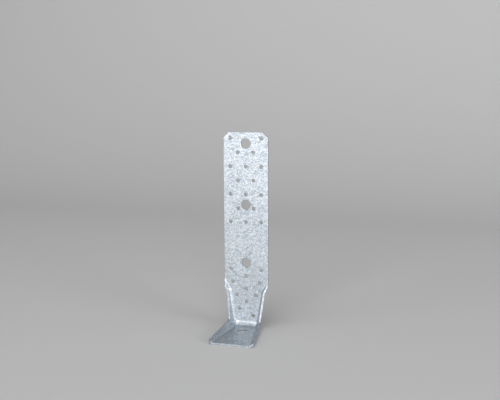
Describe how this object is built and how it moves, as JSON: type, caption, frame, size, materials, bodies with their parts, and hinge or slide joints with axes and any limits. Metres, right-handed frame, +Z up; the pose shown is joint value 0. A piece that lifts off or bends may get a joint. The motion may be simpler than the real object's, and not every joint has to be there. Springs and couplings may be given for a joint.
{
  "type": "post base",
  "caption": "Folded galvanised steel post base: a tall leg with a staggered nail grid, stiffening lips round the heel, and a drilled foot for an anchor bolt.",
  "frame": {"origin": "on the floor, under the middle of the outer box", "axes": "+Z up along the tall leg, X across the strip, +Y towards the post, the foot towards -Y"},
  "size_m": [0.065, 0.085, 0.285],
  "materials": {
    "zinc_steel": "satin zinc coat with a fine spangle"
  },
  "bodies": {
    "root": {"angle_bracket": "zinc_steel"}
  },
  "joints": []
}
